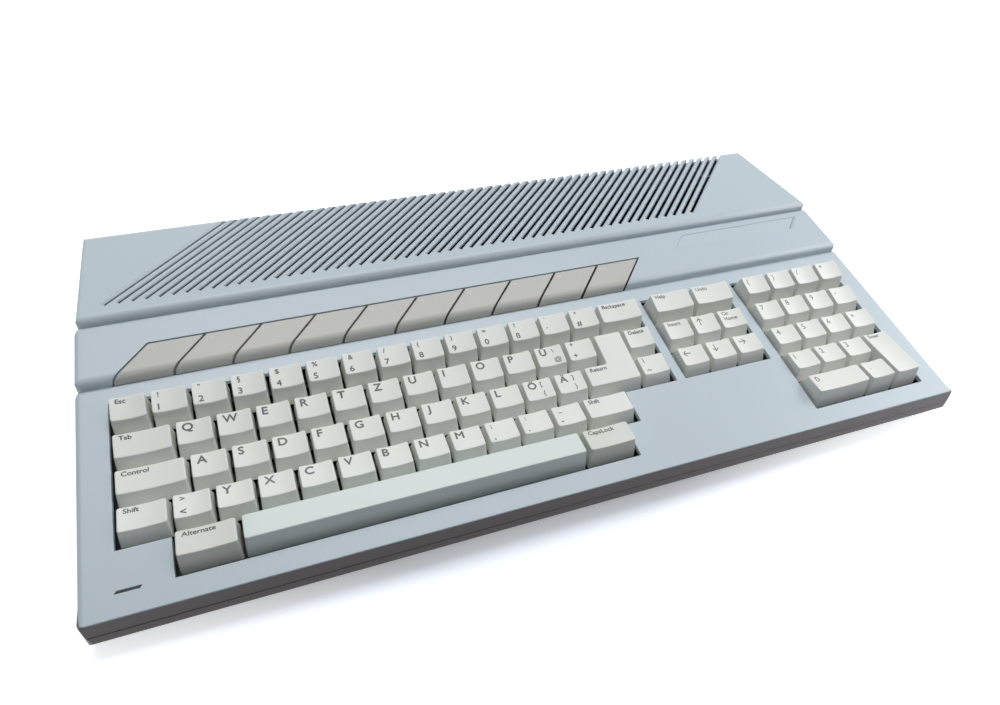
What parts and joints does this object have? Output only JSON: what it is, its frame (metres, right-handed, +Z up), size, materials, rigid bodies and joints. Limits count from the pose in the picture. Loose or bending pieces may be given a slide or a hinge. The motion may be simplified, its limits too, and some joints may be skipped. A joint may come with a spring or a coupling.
{
  "type": "home computer",
  "caption": "Wedge-shaped home computer with built-in keyboard, slanted function keys and a diagonal louvre grille over the rear.",
  "frame": {"origin": "middle of the footprint, on the surface the feet stand on", "axes": "+X along the width to the typist's right, +Y to the rear, +Z up"},
  "size_m": [0.47, 0.2337, 0.06],
  "materials": {
    "case_light": "satin",
    "case_dark": "satin",
    "key_white": "satin",
    "key_grey": "satin",
    "key_space": "satin",
    "function_grey": "satin",
    "foot_rubber": "matte",
    "frame_black": "satin",
    "dome_rubber": "matte",
    "board_green": "satin",
    "lens_green": "gloss",
    "badge_metal": "satin",
    "chip_black": "satin",
    "shield_steel": "satin",
    "ribbon_grey": "satin",
    "socket_black": "satin",
    "port_metal": "satin"
  },
  "bodies": {
    "case": {"badge_plate": "badge_metal", "board_chips": "chip_black", "cartridge_socket": "socket_black", "controller_ports": "port_metal", "din_sockets": "socket_black", "dome_mat": "dome_rubber", "hard_disk_port": "port_metal", "keyboard_board": "board_green", "keyboard_frame": "frame_black", "keyboard_ribbon": "ribbon_grey", "lower_case": "case_dark", "main_board": "board_green", "modem_port": "port_metal", "power_light": "lens_green", "power_light_lens": "lens_green", "power_switch_housing": "socket_black", "printer_port": "port_metal", "reset_switch": "socket_black", "rubber_feet": "foot_rubber", "shield_cover": "shield_steel", "upper_case": "case_light"},
    "escape_key": {"escape_key": "key_white"},
    "backspace_key": {"backspace_key": "key_white"},
    "tab_key": {"tab_key": "key_white"},
    "delete_key": {"delete_key": "key_white"},
    "control_key": {"control_key": "key_white"},
    "return_key": {"return_key": "key_white"},
    "left_shift_key": {"left_shift_key": "key_white"},
    "right_shift_key": {"right_shift_key": "key_white"},
    "alternate_key": {"alternate_key": "key_grey"},
    "space_bar": {"space_bar": "key_space"},
    "caps_lock_key": {"caps_lock_key": "key_grey"},
    "help_key": {"help_key": "key_white"},
    "undo_key": {"undo_key": "key_white"},
    "numpad_zero_key": {"numpad_zero_key": "key_white"},
    "numpad_enter_key": {"numpad_enter_key": "key_white"},
    "number_row_keys": {"number_row_keys": "key_white"},
    "top_letter_keys": {"top_letter_keys": "key_white"},
    "home_letter_keys": {"home_letter_keys": "key_white"},
    "bottom_letter_keys": {"bottom_letter_keys": "key_white"},
    "cursor_keys": {"cursor_keys": "key_white"},
    "numpad_keys": {"numpad_keys": "key_white"},
    "function_key_1": {"function_key_1": "function_grey"},
    "function_key_2": {"function_key_2": "function_grey"},
    "function_key_3": {"function_key_3": "function_grey"},
    "function_key_4": {"function_key_4": "function_grey"},
    "function_key_5": {"function_key_5": "function_grey"},
    "function_key_6": {"function_key_6": "function_grey"},
    "function_key_7": {"function_key_7": "function_grey"},
    "function_key_8": {"function_key_8": "function_grey"},
    "function_key_9": {"function_key_9": "function_grey"},
    "function_key_10": {"function_key_10": "function_grey"},
    "power_rocker": {"power_rocker": "socket_black"},
    "reset_button": {"reset_button": "case_light"}
  },
  "joints": [
    {"name": "escape_key_press", "type": "slide", "parent": "case", "child": "escape_key", "axis": [0, 0.1959, -0.9806], "range_m": [0, 0.0038], "stiffness_N_per_m": 250},
    {"name": "backspace_key_press", "type": "slide", "parent": "case", "child": "backspace_key", "axis": [0, 0.1959, -0.9806], "range_m": [0, 0.0038], "stiffness_N_per_m": 250},
    {"name": "tab_key_press", "type": "slide", "parent": "case", "child": "tab_key", "axis": [0, 0.1959, -0.9806], "range_m": [0, 0.0038], "stiffness_N_per_m": 250},
    {"name": "delete_key_press", "type": "slide", "parent": "case", "child": "delete_key", "axis": [0, 0.1959, -0.9806], "range_m": [0, 0.0038], "stiffness_N_per_m": 250},
    {"name": "control_key_press", "type": "slide", "parent": "case", "child": "control_key", "axis": [0, 0.1959, -0.9806], "range_m": [0, 0.0038], "stiffness_N_per_m": 250},
    {"name": "return_key_press", "type": "slide", "parent": "case", "child": "return_key", "axis": [0, 0.1959, -0.9806], "range_m": [0, 0.0038], "stiffness_N_per_m": 250},
    {"name": "left_shift_key_press", "type": "slide", "parent": "case", "child": "left_shift_key", "axis": [0, 0.1959, -0.9806], "range_m": [0, 0.0038], "stiffness_N_per_m": 250},
    {"name": "right_shift_key_press", "type": "slide", "parent": "case", "child": "right_shift_key", "axis": [0, 0.1959, -0.9806], "range_m": [0, 0.0038], "stiffness_N_per_m": 250},
    {"name": "alternate_key_press", "type": "slide", "parent": "case", "child": "alternate_key", "axis": [0, 0.1959, -0.9806], "range_m": [0, 0.0038], "stiffness_N_per_m": 250},
    {"name": "space_bar_press", "type": "slide", "parent": "case", "child": "space_bar", "axis": [0, 0.1959, -0.9806], "range_m": [0, 0.0038], "stiffness_N_per_m": 250},
    {"name": "caps_lock_key_press", "type": "slide", "parent": "case", "child": "caps_lock_key", "axis": [0, 0.1959, -0.9806], "range_m": [0, 0.0038], "stiffness_N_per_m": 250},
    {"name": "help_key_press", "type": "slide", "parent": "case", "child": "help_key", "axis": [0, 0.1959, -0.9806], "range_m": [0, 0.0038], "stiffness_N_per_m": 250},
    {"name": "undo_key_press", "type": "slide", "parent": "case", "child": "undo_key", "axis": [0, 0.1959, -0.9806], "range_m": [0, 0.0038], "stiffness_N_per_m": 250},
    {"name": "numpad_zero_key_press", "type": "slide", "parent": "case", "child": "numpad_zero_key", "axis": [0, 0.1959, -0.9806], "range_m": [0, 0.0038], "stiffness_N_per_m": 250},
    {"name": "numpad_enter_key_press", "type": "slide", "parent": "case", "child": "numpad_enter_key", "axis": [0, 0.1959, -0.9806], "range_m": [0, 0.0038], "stiffness_N_per_m": 250},
    {"name": "number_row_keys_press", "type": "slide", "parent": "case", "child": "number_row_keys", "axis": [0, 0.1959, -0.9806], "range_m": [0, 0.0038], "stiffness_N_per_m": 900},
    {"name": "top_letter_keys_press", "type": "slide", "parent": "case", "child": "top_letter_keys", "axis": [0, 0.1959, -0.9806], "range_m": [0, 0.0038], "stiffness_N_per_m": 900},
    {"name": "home_letter_keys_press", "type": "slide", "parent": "case", "child": "home_letter_keys", "axis": [0, 0.1959, -0.9806], "range_m": [0, 0.0038], "stiffness_N_per_m": 900},
    {"name": "bottom_letter_keys_press", "type": "slide", "parent": "case", "child": "bottom_letter_keys", "axis": [0, 0.1959, -0.9806], "range_m": [0, 0.0038], "stiffness_N_per_m": 900},
    {"name": "cursor_keys_press", "type": "slide", "parent": "case", "child": "cursor_keys", "axis": [0, 0.1959, -0.9806], "range_m": [0, 0.0038], "stiffness_N_per_m": 900},
    {"name": "numpad_keys_press", "type": "slide", "parent": "case", "child": "numpad_keys", "axis": [0, 0.1959, -0.9806], "range_m": [0, 0.0038], "stiffness_N_per_m": 900},
    {"name": "function_key_1_press", "type": "slide", "parent": "case", "child": "function_key_1", "axis": [0, 0.1959, -0.9806], "range_m": [0, 0.0032], "stiffness_N_per_m": 250},
    {"name": "function_key_2_press", "type": "slide", "parent": "case", "child": "function_key_2", "axis": [0, 0.1959, -0.9806], "range_m": [0, 0.0032], "stiffness_N_per_m": 250},
    {"name": "function_key_3_press", "type": "slide", "parent": "case", "child": "function_key_3", "axis": [0, 0.1959, -0.9806], "range_m": [0, 0.0032], "stiffness_N_per_m": 250},
    {"name": "function_key_4_press", "type": "slide", "parent": "case", "child": "function_key_4", "axis": [0, 0.1959, -0.9806], "range_m": [0, 0.0032], "stiffness_N_per_m": 250},
    {"name": "function_key_5_press", "type": "slide", "parent": "case", "child": "function_key_5", "axis": [0, 0.1959, -0.9806], "range_m": [0, 0.0032], "stiffness_N_per_m": 250},
    {"name": "function_key_6_press", "type": "slide", "parent": "case", "child": "function_key_6", "axis": [0, 0.1959, -0.9806], "range_m": [0, 0.0032], "stiffness_N_per_m": 250},
    {"name": "function_key_7_press", "type": "slide", "parent": "case", "child": "function_key_7", "axis": [0, 0.1959, -0.9806], "range_m": [0, 0.0032], "stiffness_N_per_m": 250},
    {"name": "function_key_8_press", "type": "slide", "parent": "case", "child": "function_key_8", "axis": [0, 0.1959, -0.9806], "range_m": [0, 0.0032], "stiffness_N_per_m": 250},
    {"name": "function_key_9_press", "type": "slide", "parent": "case", "child": "function_key_9", "axis": [0, 0.1959, -0.9806], "range_m": [0, 0.0032], "stiffness_N_per_m": 250},
    {"name": "function_key_10_press", "type": "slide", "parent": "case", "child": "function_key_10", "axis": [0, 0.1959, -0.9806], "range_m": [0, 0.0032], "stiffness_N_per_m": 250},
    {"name": "power_rocker_tilt", "type": "hinge", "parent": "case", "child": "power_rocker", "pos_m": [0.19, 0.109, 0.031], "axis": [1, 0, 0], "range_deg": [0, 16]},
    {"name": "reset_button_press", "type": "slide", "parent": "case", "child": "reset_button", "axis": [0, -1, 0], "range_m": [0, 0.0015], "stiffness_N_per_m": 600}
  ]
}
